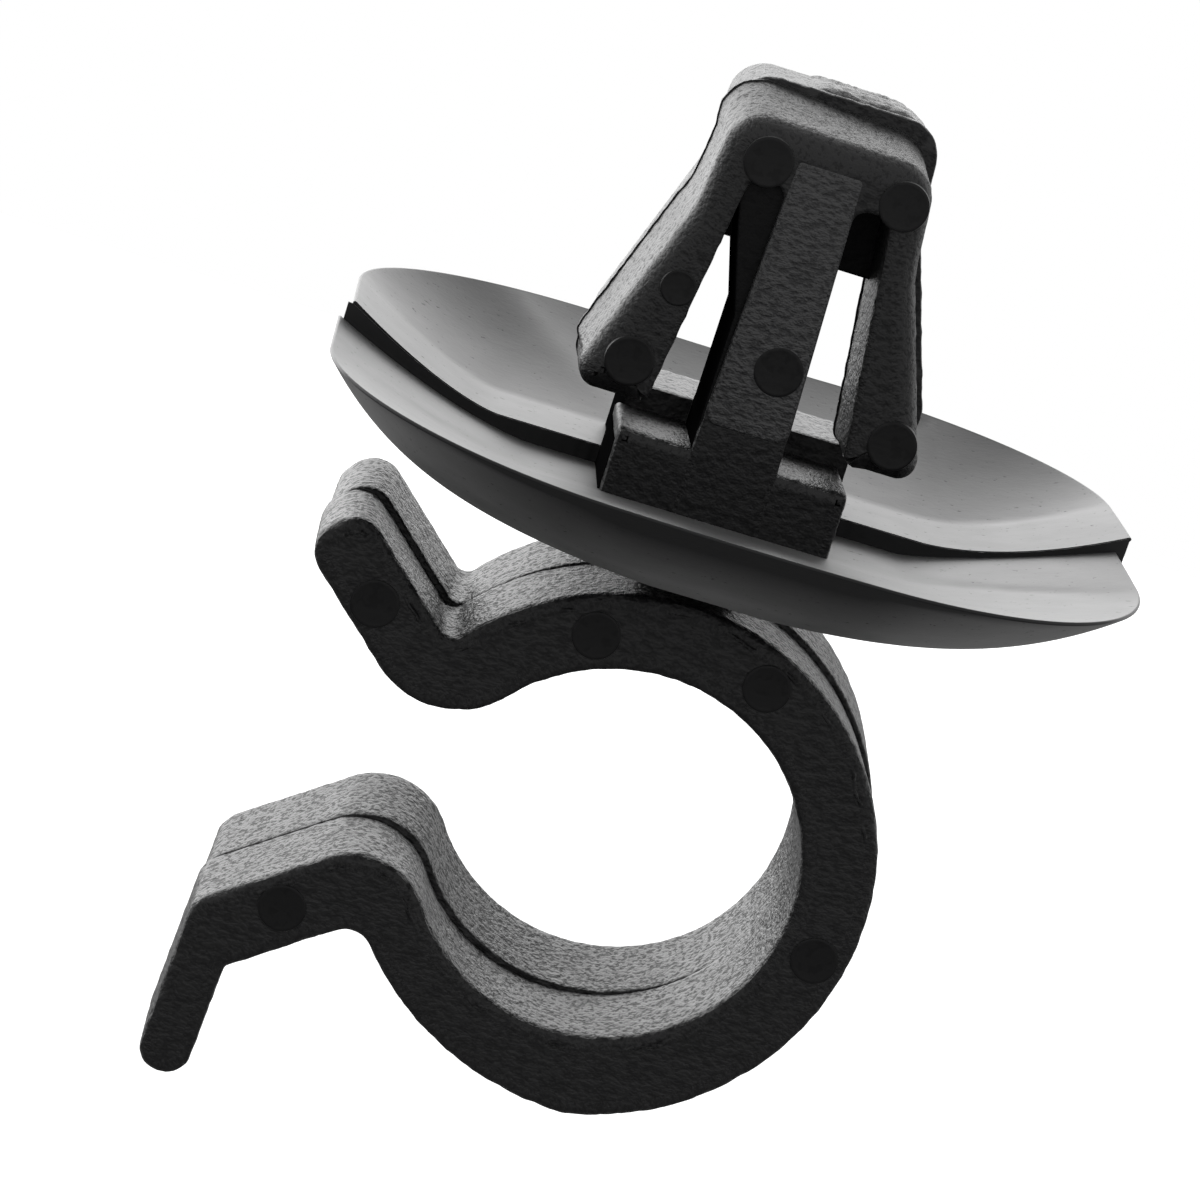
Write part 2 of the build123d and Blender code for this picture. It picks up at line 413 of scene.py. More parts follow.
def ring_outline():
    up_inner, up_outer = UPPER_ARM_INNER, UPPER_ARM_INNER - UPPER_ARM_THICKNESS
    up_nose = where_line_meets_circle(UPPER_ARM_WAY, up_inner, BORE_RADIUS)
    up_valley = where_line_meets_circle(UPPER_ARM_WAY, up_outer, RING_TOP)
    up_tip_inner = along(UPPER_ARM_WAY, UPPER_ARM_REACH, up_inner)
    up_tip_outer = along(UPPER_ARM_WAY, UPPER_ARM_REACH, up_outer)
    down_inner, down_outer = -LOWER_ARM_INNER, LOWER_ARM_THICKNESS - LOWER_ARM_INNER
    down_nose = where_line_meets_circle(LOWER_ARM_WAY, down_inner, BORE_RADIUS)
    down_valley = where_line_meets_circle(LOWER_ARM_WAY, down_outer, RING_VALLEY)
    elbow = along(LOWER_ARM_WAY, ELBOW_REACH, down_inner)
    leg_way = cmath.exp(1j * math.radians(LEG_WAY))
    leg_tip_outer = elbow + LEG_LENGTH * leg_way
    leg_tip_inner = leg_tip_outer + LEG_THICKNESS * 1j * leg_way
    arm_way = cmath.exp(1j * math.radians(LOWER_ARM_WAY))
    gap = leg_tip_inner - down_valley
    knee = down_valley + arm_way * (gap * leg_way.conjugate()).imag / (arm_way * leg_way.conjugate()).imag
    top, right, bottom = 1j * RING_TOP, complex(RING_RIGHT, 0), complex(RING_BOTTOM_X, -RING_BOTTOM)
    upper_centre = circle_centre(up_valley, top, right)
    span = RING_RIGHT - RING_BOTTOM_X
    lower_right_centre = complex((RING_RIGHT**2 - RING_BOTTOM_X**2 - RING_BOTTOM**2) / (2 * span), 0)
    drop = down_valley - bottom
    lower_left_centre = bottom + 1j * abs(drop) ** 2 / (2 * drop.imag)
    return trace([
        (Straight(up_nose, up_tip_inner), UPPER_TIP_RADIUS),
        (Straight(up_tip_inner, up_tip_outer), UPPER_TIP_RADIUS),
        (Straight(up_tip_outer, up_valley), UPPER_VALLEY_RADIUS),
        (Arc(up_valley, right, upper_centre, -1), 0),
        (Arc(right, bottom, lower_right_centre, -1), 0),
        (Arc(bottom, down_valley, lower_left_centre, -1), LOWER_VALLEY_RADIUS),
        (Straight(down_valley, knee), KNEE_RADIUS),
        (Straight(knee, leg_tip_inner), LEG_TIP_RADIUS),
        (Straight(leg_tip_inner, leg_tip_outer), LEG_TIP_RADIUS),
        (Straight(leg_tip_outer, elbow), ELBOW_RADIUS),
        (Straight(elbow, down_nose), LOWER_NOSE_RADIUS),
        (Arc(down_nose, up_nose, 0j, 1), UPPER_NOSE_RADIUS),
    ])


def anchor_outline(side):
    """The anchor, whose stem is narrower and whose pockets are wider in the back half."""
    setback, widening = (STEM_BACK_SETBACK, POCKET_BACK_WIDENING) if side == BACK else (0, 0)
    return trace_symmetric([
        (complex(HEAD_TOP_HALF, HEAD_TOP), HEAD_CORNER_RADIUS),
        (complex(HEAD_HALF, SHOULDER_HEIGHT), SHOULDER_RADIUS),
        (complex(WING_TIP_HALF, WING_TIP_HEIGHT + WING_TIP_RISE), WING_TIP_RADIUS),
        (complex(WING_TIP_HALF, WING_TIP_HEIGHT), WING_TIP_RADIUS),
        (complex(WING_TIP_INNER + widening, WING_TIP_HEIGHT), WING_TIP_INNER_RADIUS),
        (complex(POCKET_OUTER_TOP + widening, POCKET_TOP), POCKET_RADIUS),
        (complex(STEM_HALF_TOP - setback, POCKET_TOP), POCKET_RADIUS),
        (complex(STEM_HALF_BOTTOM - setback, BLOCK_BOTTOM), 0),
    ])


def web_outline():
    reach = POCKET_OUTER_TOP + WEB_WING_GAP
    return trace_rectangle(-reach, reach, POCKET_TOP - WEB_HEIGHT, POCKET_TOP + WEB_WING_GAP)


def shade_rib_outline():
    """The rib, a dark sheet of painted shade along the stem's left side, from the web down to the block."""
    top, left = POCKET_TOP + WEB_WING_GAP, -POCKET_OUTER_TOP - WEB_WING_GAP
    return trace_sharp([complex(0, top), complex(left, top), SHADE_RIB_EDGE_TOP, SHADE_RIB_EDGE_BEND, SHADE_RIB_EDGE_BOTTOM,
                        complex(0, SHADE_RIB_EDGE_BOTTOM.imag)])


def side_shade_plate_outline():
    """A thin dark sheet on the block's left side, a painted shade on that side."""
    side = -BLOCK_HALF_LENGTH
    return trace_rectangle(side - SIDE_SHADE_PLATE_PROUD, side + SIDE_SHADE_PLATE_DEPTH, BLOCK_BOTTOM,
                           BLOCK_TOP - SIDE_SHADE_PLATE_DROP)


def stem_face_outline():
    return trace_symmetric([
        (complex(STEM_HALF_TOP - STEM_FACE_INSET, STEM_FACE_TOP), STEM_FACE_TOP_RADIUS),
        (complex(STEM_HALF_BOTTOM - 2 * STEM_FACE_INSET, STEM_FACE_BOTTOM), STEM_FACE_BOTTOM_RADIUS),
    ])


def block_outline():
    return trace_symmetric([
        (complex(BLOCK_HALF_LENGTH, BLOCK_TOP), BLOCK_CORNER_RADIUS),
        (complex(BLOCK_HALF_LENGTH, BLOCK_BOTTOM), 0),
    ])


# Mesh building


def outward_mitres(points):
    """For each point of a closed outline, how far it moves when both its runs move outwards by one."""
    area = sum((a.conjugate() * b).imag for a, b in zip(points, points[1:] + points[:1]))
    out = -1j if area > 0 else 1j
    mitres = []
    for k, point in enumerate(points):
        before = point - points[k - 1]
        after = points[(k + 1) % len(points)] - point
        a, b = out * before / abs(before), out * after / abs(after)
        mitres.append((a + b) / max(MITRE_LIMIT, 1 + (a.conjugate() * b).real))
    return mitres


def add_face(work, corners, places):
    """A face whose corners carry the places, in millimetres, that its grain is drawn at."""
    grain = work.loops.layers.float_vector["grain"]
    for loop, place in zip(work.faces.new(corners).loops, places):
        loop[grain] = place


def fill_cap(work, rim, layer):
    """Fills a flat outline, which may be concave, with triangles."""
    flat = [Vector((v.co.x, v.co.z)) for v in rim]
    inside_only, merge_distance = 1, 1e-5
    spots, _, triangles, sources, _, _ = delaunay_2d_cdt(
        flat, [], [list(range(len(flat)))], inside_only, merge_distance)
    corners = []
    for spot, source in zip(spots, sources):
        corners.append(rim[source[0]] if source else work.verts.new((spot.x, rim[0].co.y, spot.y)))
    for triangle in triangles:
        chosen = [corners[k] for k in triangle]
        if len(set(chosen)) == len(chosen):
            add_face(work, chosen, [(CAP_GRAIN_SQUEEZE * v.co.x, v.co.z, layer) for v in chosen])


def slab_rows(points, mitres, rims, half_width, face_rows, wall_rows, seam_round, fin):
    """A slab's rows, from its flat face to its seam: each point's inset and distance from the seam."""
    rows = []
    for inset, height_of in reversed(face_rows):
        rows.append([(inset + r, half_width + height_of(p, m)) for p, m, r in zip(points, mitres, rims)])
    rows.append([(r + FACE_INSET, half_width) for r in rims])
    for step in range(RIM_STEPS + 1):
        angle = math.radians(90 * step / RIM_STEPS)
        rows.append([(r * (1 - math.sin(angle)), half_width - r * (1 - math.cos(angle))) for r in rims])
    for row in range(1, wall_rows + 1):
        part = row / wall_rows
        rows.append([(0.0, (half_width - r) * (1 - part) + seam_round * part) for r in rims])
    middle = SEAM_ROUND_MIDDLE * seam_round
    seam_profile = [(-fin, seam_round), (-fin, 0.0)] if fin else [(middle, middle), (seam_round, 0.0)]
    rows += [[place] * len(points) for place in seam_profile]
    return rows


def add_walls(work, lines, rows, travel, side):
    """The faces between a slab's lines of vertices. The grain runs round the outline and across the wall."""
    count = len(travel) - 1
    for low, high, low_row, high_row in zip(lines, lines[1:], rows, rows[1:]):
        for k in range(count):
            after = (k + 1) % count
            across_low, across_high = side * sum(low_row[k]), side * sum(high_row[k])
            add_face(work, (low[k], low[after], high[after], high[k]), [
                (travel[k], across_low, side),
                (travel[k + 1], across_low, side),
                (travel[k + 1], across_high, side),
                (travel[k], across_high, side),
            ])


def half_slab(work, points, side, shift, half_width, rim_of, wall_rows, face_rows=(), roughness=0.0,
              growth=0.0, lean=0j, seam_round=SEAM_ROUND, fin=0.0, spread_of=None):
    """One mould half of an extruded body, from its outer face to the plane where the halves meet.

    rim_of gives the radius of the rim at each point. face_rows are rows on the outer face inside the rim,
    each with its inset and a function that gives its height. fin is how far the mould's flash stands out at
    the seam, and without it the edge there is rounded. lean is how far the body moves for each millimetre
    from the seam. spread_of gives how far a point stands out, from its place, its outward way and its share
    of the half width.
    """
    mitres = outward_mitres(points)
    rims = [rim_of(point, mitre) for point, mitre in zip(points, mitres)]
    rows = slab_rows(points, mitres, rims, half_width, face_rows, wall_rows, seam_round, fin)
    travel = [0.0]
    for a, b in zip(points, points[1:] + points[:1]):
        travel.append(travel[-1] + abs(b - a))
    lines = []
    for row in rows:
        line = []
        for point, mitre, (inset, y) in zip(points, mitres, row):
            spread = spread_of(point, mitre / abs(mitre), y / half_width) if spread_of else 0
            place = point + mitre * (growth + spread - inset)
            if roughness and inset < ROUGH_INSET:
                place += mitre * roughness * (outline_noise(place, ROUGH_SCALE, y * ROUGH_SCALE) - 1)
            place += shift + lean * y
            line.append(work.verts.new((place.real, side * y, place.imag)))
        lines.append(line)
    add_walls(work, lines, rows, travel, side)
    fill_cap(work, lines[0], FACE_LAYER * side)
    fill_cap(work, lines[-1], SEAM_LAYER * side)


def even_rim(radius):
    """A function that gives each point of an outline the same rim."""
    return lambda point, mitre: radius


def add_disc(work, centre, radius, y, height):
    """A round mark that stands a little proud of a front face, with a soft rim."""
    # From its flat middle to behind the face: how far out, by the radius, and how high, by the height
    profile = [(0.72, 0.75), (0.86, 0.9), (0.93, 1.0), (0.99, 0.7), (1.02, -0.6), (1.03, -9.0)]
    sides = 40

    def new_face(*corners):
        add_face(work, corners, [(v.co.x, v.co.z, 0) for v in corners])

    rings = []
    for reach, rise in profile:
        ring = []
        for k in range(sides):
            spot = centre + radius * reach * cmath.exp(2j * math.pi * k / sides)
            ring.append(work.verts.new((spot.real, y - height * rise, spot.imag)))
        rings.append(ring)
    for inner, outer in zip(rings, rings[1:]):
        for k in range(sides):
            after = (k + 1) % sides
            new_face(inner[k], inner[after], outer[after], outer[k])
    new_face(*rings[0])


def new_work():
    work = bmesh.new()
    work.loops.layers.float_vector.new("grain")
    return work


def finish_piece(work, name, material, sharp=SHARP_ANGLE):
    bmesh.ops.recalc_face_normals(work, faces=work.faces)
    work.transform(Matrix.Scale(MM, 4))
    mesh = bpy.data.meshes.new(name)
    for face in work.faces:
        face.smooth = True
    work.to_mesh(mesh)
    work.free()
    piece = bpy.data.objects.new(name, mesh)
    bpy.context.scene.collection.objects.link(piece)
    mesh.materials.append(material)
    mesh.set_sharp_from_angle(angle=math.radians(sharp))
    return piece


# Ring and arms


def burr_height(point, mitre):
    """The crumbled burr along those front edges of the ring that look up."""
    least_slope, onset, fine_share = 0.15, 2.5, 0.6
    looks_up = clamp((mitre.imag / abs(mitre) - least_slope) * onset)
    coarse = outline_noise(point, scale=2.2, layer=0)
    fine = outline_noise(point, scale=9, layer=3)
    return BURR_HEIGHT * looks_up * max(0.0, coarse + fine_share * fine)


def no_height(point, mitre):
    return 0.0


def crumbled_rim(point, mitre):
    """The radius of the ring's front edges, which are crumbled unevenly."""
    wear, coarse_wear, coarse_bias, fine_wear = 0.1, 0.1, 0.15, 0.05
    coarse = outline_noise(point, scale=2.5, layer=7)
    fine = outline_noise(point, scale=8, layer=9)
    return RING_EDGE_RADIUS + wear + coarse_wear * max(0.0, coarse + coarse_bias) + fine_wear * max(0.0, fine)


def ring_back_spread(point, outwards, part):
    """How the back half's lower surfaces that face up and right stand out more towards the back."""
    faces_up_right = max(0.0, (outwards.real + outwards.imag) / math.sqrt(2))
    return RING_BACK_SPREAD * part * faces_up_right * clamp(RING_BACK_SPREAD_TOP - point.imag)


def build_ring(material):
    work = new_work()
    points = ring_outline()
    surface = {"wall_rows": RING_WALL_ROWS, "roughness": RING_ROUGHNESS, "growth": RING_GROWTH}
    face_rows = [(inset, burr_height if raised else no_height) for inset, raised in RING_FACE_ROWS]
    half_slab(work, points, FRONT, 0j, HALF_WIDTH, crumbled_rim, face_rows=face_rows, **surface)
    half_slab(work, points, BACK, RING_BACK_SHIFT, HALF_WIDTH, even_rim(RING_EDGE_RADIUS),
              lean=RING_BACK_LEAN, seam_round=BACK_SEAM_ROUND, spread_of=ring_back_spread, **surface)
    return finish_piece(work, "ring", material)


# Anchor


def anchor_rim(side):
    """A function that gives the rim's radius: narrow in the pockets, and wide round the anchor's outside."""
    wide = ANCHOR_RIM_RADIUS[side]
    blend_length, tip_margin = 0.5, 0.05

    def rim(point, mitre):
        beyond = abs(point.real) - WING_TIP_INNER
        above_pocket = point.imag > POCKET_TOP + POCKET_RADIUS
        if above_pocket or (beyond > 0 and point.imag > WING_TIP_HEIGHT + tip_margin):
            return wide
        return POCKET_RIM_RADIUS + (wide - POCKET_RIM_RADIUS) * clamp(beyond / blend_length)

    return rim


def add_gate_stub(work):
    """The torn stub of the mould's gate on top of the back half's head."""
    columns, rows = 48, 26
    middle, top = complex(0.5, 1.3), HEAD_TOP + ANCHOR_SHIFT[BACK].imag
    half_length, half_width, height, tallest, sunk = 1.1, 1.15, 0.08, 0.12, 0.06
    level_part, torn_part, fine_share, edge_power, ragged_edge = 0.9, 0.6, 0.5, 6, 0.05
    grid = []
    for row in range(rows + 1):
        line = []
        for column in range(columns + 1):
            a, b = 2 * column / columns - 1, 2 * row / rows - 1
            x, y = middle.real + half_length * a, middle.imag + half_width * b
            torn = level_noise(x, y, scale=3, layer=0) + fine_share * level_noise(x, y, scale=9, layer=4)
            edge = max(abs(a), abs(b)) ** edge_power
            rise = min(tallest, height * (level_part + torn_part * torn)) * (1 - edge) - sunk * edge
            ragged = ragged_edge * outline_noise(x, scale=6, layer=11)
            line.append(work.verts.new((x, y + ragged, top + rise)))
        grid.append(line)
    for low, high in zip(grid, grid[1:]):
        for k in range(columns):
            corners = (low[k], low[k + 1], high[k + 1], high[k])
            add_face(work, corners, [v.co for v in corners])


def in_pocket(point):
    return point.imag < POCKET_TOP + POCKET_RADIUS and abs(point.real) < WING_TIP_INNER


def anchor_front_spread(point, outwards, part):
    """How the front half's head rises from its face to the seam, most at the left."""
    if in_pocket(point):
        return 0.0
    seam_rise, right_share, face_drop = 0.4, 0.3, 0.15
    leftness = clamp((HEAD_TOP_HALF - point.real) / (2 * HEAD_TOP_HALF))
    at_seam = seam_rise * (right_share + (1 - right_share) * leftness)
    return max(0.0, outwards.imag) * (at_seam * (1 - part) - face_drop * part)


def anchor_back_spread(point, outwards, part):
    """How the back half's left flank lies behind the front half's, below the head."""
    if in_pocket(point):
        return 0.0
    at_seam, added_at_back, blend_top, blend_length = 0.04, 0.06, 14.8, 1.5
    below_head = clamp((blend_top - point.imag) / blend_length)
    return -(at_seam + added_at_back * part) * below_head * max(0.0, -outwards.real)


def build_anchor(material):
    work = new_work()
    surface = {"wall_rows": ANCHOR_WALL_ROWS, "roughness": ANCHOR_ROUGHNESS}
    half_slab(work, anchor_outline(FRONT), FRONT, ANCHOR_SHIFT[FRONT], HALF_WIDTH, anchor_rim(FRONT),
              seam_round=ANCHOR_FRONT_SEAM_ROUND, fin=ANCHOR_FLASH, spread_of=anchor_front_spread, **surface)
    half_slab(work, anchor_outline(BACK), BACK, ANCHOR_SHIFT[BACK], HALF_WIDTH, anchor_rim(BACK),
              seam_round=BACK_SEAM_ROUND, spread_of=anchor_back_spread, **surface)
    for side in (FRONT, BACK):
        half_slab(work, block_outline(), side, ANCHOR_SHIFT[side], BLOCK_HALF_WIDTH,
                  even_rim(BLOCK_RIM_RADIUS), wall_rows=BLOCK_WALL_ROWS, roughness=ANCHOR_ROUGHNESS)
    add_gate_stub(work)
    return finish_piece(work, "anchor", material)


def build_painted_shade_sheets(material):
    """The parts in the matte black of painted shade: webs and side plates in both halves, and the rib in the
    front half.
    """
    work = new_work()
    for side in (FRONT, BACK):
        half_slab(work, web_outline(), side, ANCHOR_SHIFT[side], WEB_HALF_THICKNESS, even_rim(WEB_RIM_RADIUS),
                  wall_rows=1)
        half_slab(work, side_shade_plate_outline(), side, ANCHOR_SHIFT[side], SIDE_SHADE_PLATE_HALF_WIDTH,
                  even_rim(SIDE_SHADE_PLATE_RIM_RADIUS), wall_rows=1)
    half_slab(work, shade_rib_outline(), FRONT, ANCHOR_SHIFT[FRONT], SHADE_RIB_HALF_THICKNESS, even_rim(WEB_RIM_RADIUS),
              wall_rows=SHADE_RIB_WALL_ROWS)
    return finish_piece(work, "webs_painted_shade", material)


def build_stem_face(material):
    work = new_work()
    half_slab(work, stem_face_outline(), FRONT, ANCHOR_SHIFT[FRONT], STEM_FACE_HALF_WIDTH,
              even_rim(STEM_FACE_RIM_RADIUS), wall_rows=STEM_FACE_WALL_ROWS)
    return finish_piece(work, "stem_face", material)


def build_ejector_marks(material):
    work = new_work()
    for centre, radius in EJECTORS:
        add_disc(work, centre, radius, -HALF_WIDTH, EJECTOR_HEIGHT)
    return finish_piece(work, "ejector_marks", material)


# Skirt


def rounded_reach(angle, half_length, half_width, corner):
    """How far a level rectangle with round corners reaches from its middle, at an angle."""
    cos, sin = abs(math.cos(angle)), abs(math.sin(angle))
    if cos * (half_width - corner) >= sin * half_length:
        return half_length / cos
    if sin * (half_length - corner) >= cos * half_width:
        return half_width / sin
    middle = complex(half_length - corner, half_width - corner)
    ahead = cos * middle.real + sin * middle.imag
    return ahead + math.sqrt(ahead**2 - abs(middle) ** 2 + corner**2)


def rim_height(angle):
    return SKIRT_RIM_HEIGHT + SKIRT_SADDLE * math.cos(2 * angle)


def mouth_reach(angle):
    half_length, half_width = SKIRT_LENGTH / 2 - SKIRT_LIP, SKIRT_WIDTH / 2 - SKIRT_LIP
    return rounded_reach(angle, half_length, half_width, SKIRT_CORNER_RADIUS - SKIRT_LIP)


def dish_rise(x, y, side):
    """How a skirt's inside rises away from its flat middle strip, before it is scaled to meet the rim."""
    start, gain, power = SKIRT_RISE[side][x > 0]
    lengthwise = gain * max(0.0, abs(x) - start) ** power
    crease = SKIRT_CREASE + SKIRT_CREASE_SPREAD * max(0.0, abs(x) - SKIRT_CREASE_SPREAD_FROM)
    beyond = max(0.0, abs(y) - crease)
    return lengthwise + SKIRT_FLAP_SLOPE * beyond + SKIRT_FLAP_CURVE * beyond**2


def inner_height(x, y, side):
    angle = math.atan2(y, x)
    reach = mouth_reach(angle)
    full = dish_rise(reach * math.cos(angle), reach * math.sin(angle), side)
    edge_rise = rim_height(angle) - SKIRT_LIP_DROP - SKIRT_FLOOR_HEIGHT
    return SKIRT_FLOOR_HEIGHT + dish_rise(x, y, side) * edge_rise / full


def outer_place(angle, part):
    """A point on the skirt's outside, from foot (0) over shoulder to rim (1), as reach and height."""
    foot_reach = rounded_reach(angle, SKIRT_FOOT_LENGTH / 2, SKIRT_FOOT_WIDTH / 2, SKIRT_FOOT_RADIUS)
    shoulder_half = SKIRT_SHOULDER_SIZE / 2
    shoulder_reach = rounded_reach(angle, shoulder_half, shoulder_half, SKIRT_SHOULDER_RADIUS)
    rim_reach = rounded_reach(angle, SKIRT_LENGTH / 2, SKIRT_WIDTH / 2, SKIRT_CORNER_RADIUS)
    foot = (foot_reach, SKIRT_FOOT_HEIGHT)
    shoulder = (shoulder_reach, SKIRT_SHOULDER_HEIGHT)
    rim = (rim_reach - SKIRT_RIM_INSET, rim_height(angle) - SKIRT_RIM_DROP)
    first, second = math.dist(foot, shoulder), math.dist(shoulder, rim)
    middle = first / (first + second)
    weights = (
        (part - middle) * (part - 1) / middle,
        part * (part - 1) / (middle * (middle - 1)),
        part * (part - middle) / (1 - middle),
    )
    return tuple(weights[0] * a + weights[1] * b + weights[2] * c for a, b, c in zip(foot, shoulder, rim))


def lip_place(start, end, part):
    """A point part of the way round the lip, a half circle from start to end, as reach and height."""
    middle = (start + end) / 2
    place = middle + (start - middle) * cmath.exp(-1j * math.pi * part)
    return place.real, place.imag


def under_place(angle, inner, step):
    """Where a step from the inside's edge round the lip, down the outside and down the neck lies."""
    wall_step = step - SKIRT_LIP_STEPS
    if wall_step <= 0:
        return lip_place(inner, complex(*outer_place(angle, 1.0)), step / SKIRT_LIP_STEPS)
    if wall_step <= SKIRT_WALL_STEPS:
        return outer_place(angle, 1 - wall_step / SKIRT_WALL_STEPS)
    neck_reach = rounded_reach(angle, NECK_LENGTH / 2, NECK_WIDTH / 2, NECK_RADIUS)
    return neck_reach, NECK_HEIGHTS[wall_step - SKIRT_WALL_STEPS - 1]


def row_distances():
    """How far the rows of the skirt's inside lie from the seam. They are closest at the flap's edge."""
    far = SKIRT_WIDTH / 2 - SKIRT_LIP
    strip = [SKIRT_CREASE * k / SKIRT_STRIP_ROWS for k in range(SKIRT_STRIP_ROWS)]
    angles = [math.pi / 2 * k / SKIRT_FLAP_ROWS for k in range(SKIRT_FLAP_ROWS + 1)]
    return strip + [SKIRT_CREASE + (far - SKIRT_CREASE) * math.sin(angle) for angle in angles]


def mouth_half_length(y):
    """Half the length of the skirt's mouth at a distance from the seam."""
    far, corner = SKIRT_WIDTH / 2 - SKIRT_LIP, SKIRT_CORNER_RADIUS - SKIRT_LIP
    beyond = max(0.0, y - (far - corner))
    return SKIRT_LENGTH / 2 - SKIRT_LIP - corner + math.sqrt(max(0.0, corner**2 - beyond**2))


def half_skirt(work, side):
    """One mould half of the skirt: its inside as a grid, then round the lip and down its outside."""
    shift = SKIRT_SHIFT[side]

    def new_vertex(x, y, z):
        return work.verts.new((x + shift.real, side * y, z + shift.imag))

    def new_face(*corners):
        add_face(work, corners, [v.co for v in corners])

    grid = []
    for y in row_distances():
        half = mouth_half_length(y)
        row = [half * (2 * k / SKIRT_COLUMNS - 1) for k in range(SKIRT_COLUMNS + 1)]
        grid.append([new_vertex(x, y, inner_height(x, y, side)) for x in row])
    for low, high in zip(grid, grid[1:]):
        for k in range(SKIRT_COLUMNS):
            new_face(low[k], low[k + 1], high[k + 1], high[k])
    edge = [row[0] for row in grid] + grid[-1][1:-1] + [row[-1] for row in reversed(grid)]
    angles = [math.atan2(v.co.y * side, v.co.x - shift.real) for v in edge]
    lines = [edge]
    for step in range(1, SKIRT_LIP_STEPS + SKIRT_WALL_STEPS + len(NECK_HEIGHTS) + 1):
        line = []
        for angle, v in zip(angles, edge):
            inner = complex(math.hypot(v.co.x - shift.real, v.co.y), v.co.z - shift.imag)
            reach, height = under_place(angle, inner, step)
            line.append(new_vertex(reach * math.cos(angle), reach * abs(math.sin(angle)), height))
        for a, b, c, d in zip(lines[-1], lines[-1][1:], line[1:], line):
            new_face(a, b, c, d)
        lines.append(line)
    new_face(*lines[-1])
    ends = [line[0] for line in lines] + [line[-1] for line in lines[:0:-1]]
    fill_cap(work, grid[0][::-1][:-1] + ends, SEAM_LAYER * side)


def add_seam_fin(work):
    """The ragged fin along the back half's seam, which the step between the halves lays bare."""
    shift = SKIRT_SHIFT[BACK]
    reach = SKIRT_LENGTH / 2 - SKIRT_LIP / 2
    half_thickness, raggedness, sunk = 0.03, 0.03, 0.02
    depth, depth_spread = 0.6, 0.1
    end_setback, end_power = 0.12, 8
    stations = 170
    previous = None
    for k in range(stations + 1):
        x = reach * (2 * k / stations - 1)
        inside = max(-1.0, min(1.0, x / (reach - SKIRT_LIP))) * (reach - SKIRT_LIP)
        top = inner_height(inside, 0, BACK) + shift.imag - sunk
        bottom = top - depth - depth_spread * outline_noise(x, scale=6, layer=0)
        front = -half_thickness + raggedness * outline_noise(x, scale=7, layer=5)
        place = x + shift.real - end_setback * max(0.0, -x / reach) ** end_power
        corners = ((front, top), (front, bottom), (half_thickness, bottom), (half_thickness, top))
        station = [work.verts.new((place, y, z)) for y, z in corners]
        if previous:
            for a, b, c, d in zip(previous, previous[1:] + previous[:1], station[1:] + station[:1], station):
                add_face(work, (a, b, c, d), [v.co for v in (a, b, c, d)])
        if k in (0, stations):
            add_face(work, station, [v.co for v in station])
        previous = station


def build_skirt(material):
    work = new_work()
    add_seam_fin(work)
    half_skirt(work, FRONT)
    half_skirt(work, BACK)
    return finish_piece(work, "skirt", material, sharp=SKIRT_SHARP_ANGLE)


# Materials


class Grain(NamedTuple):
    """The spark-eroded grain of the mould: its width and relief in millimetres, and its length by its width.

    The contrast is how much darker its pits and patches are.
    """

    width: float
    stretch: float
    relief: float
    contrast: float


class Gloss(NamedTuple):
    """How much a surface reflects straight on and at a grazing angle, and what that angle adds in a pit."""

    facing: float
    grazing: float
    pit: float


def set_inputs(node, inputs):
    """Sets a node's inputs, by name or number, each to a value or to the socket that feeds it."""
    for key, value in inputs.items():
        if isinstance(value, bpy.types.NodeSocket):
            node.id_data.links.new(value, node.inputs[key])
        else:
            node.inputs[key].default_value = value


def add_node(tree, kind, inputs=None, **settings):
    node = tree.nodes.new("ShaderNode" + kind)
    for name, value in settings.items():
        setattr(node, name, value)
    set_inputs(node, inputs or {})
    return node


